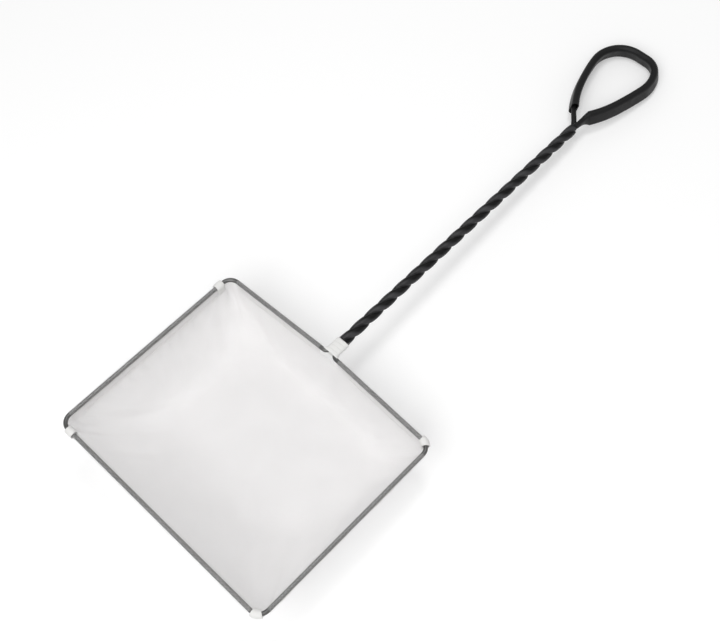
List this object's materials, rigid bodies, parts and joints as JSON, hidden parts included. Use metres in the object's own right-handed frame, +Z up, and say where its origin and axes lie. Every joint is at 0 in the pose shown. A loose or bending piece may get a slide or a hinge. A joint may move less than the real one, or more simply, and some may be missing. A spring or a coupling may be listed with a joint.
{
  "type": "aquarium fish net",
  "caption": "Hand net with a rectangular wire hoop, a soft white mesh bag, a twisted black coated wire handle and a sleeved hanging loop, for catching aquarium fish.",
  "frame": {"origin": "on the table, under the middle of the net's bounding box", "axes": "+Y along the handle from the hoop to the hanging loop, +Z up out of the bag's mouth, +X to the right"},
  "size_m": [0.1544, 0.4041, 0.0488],
  "materials": {
    "bare_steel": "drawn, dull grey",
    "black_coating": "soft black vinyl coating, semi-gloss",
    "black_sleeve": "flat black vinyl sleeve, satin",
    "white_mesh": "fine soft white nylon mesh, slightly see-through",
    "white_tape": "white woven tape",
    "white_thread": "white sewing thread"
  },
  "bodies": {
    "net_frame": {"hoop_wire": "bare_steel", "strand_wire_left": "bare_steel", "strand_wire_right": "bare_steel", "loop_wire": "bare_steel", "strand_coating_left": "black_coating", "strand_coating_right": "black_coating", "loop_coating": "black_coating", "loop_sleeve": "black_sleeve", "thread_front": "white_thread", "thread_left": "white_thread", "thread_right": "white_thread", "thread_back_left": "white_thread", "thread_back_right": "white_thread", "hem_front": "white_mesh", "hem_left": "white_mesh", "hem_right": "white_mesh", "hem_back_left": "white_mesh", "hem_back_right": "white_mesh", "bag_front": "white_mesh", "bag_back": "white_mesh", "bag_left": "white_mesh", "bag_right": "white_mesh", "neck_wrap": "white_tape", "tab_front_left": "white_tape", "tab_front_right": "white_tape", "tab_back_left": "white_tape", "tab_back_right": "white_tape", "seam_front_left": "white_tape", "seam_front_right": "white_tape", "seam_back_left": "white_tape", "seam_back_right": "white_tape"},
    "bag_base": {"bag_floor": "white_mesh"}
  },
  "joints": [
    {"name": "bag_collapse", "type": "slide", "parent": "net_frame", "child": "bag_base", "axis": [0, 0.104, 0.9946], "range_m": [0, 0.025], "deforming": ["bag_front", "bag_back", "bag_left", "bag_right", "seam_front_left", "seam_front_right", "seam_back_left", "seam_back_right"]}
  ]
}
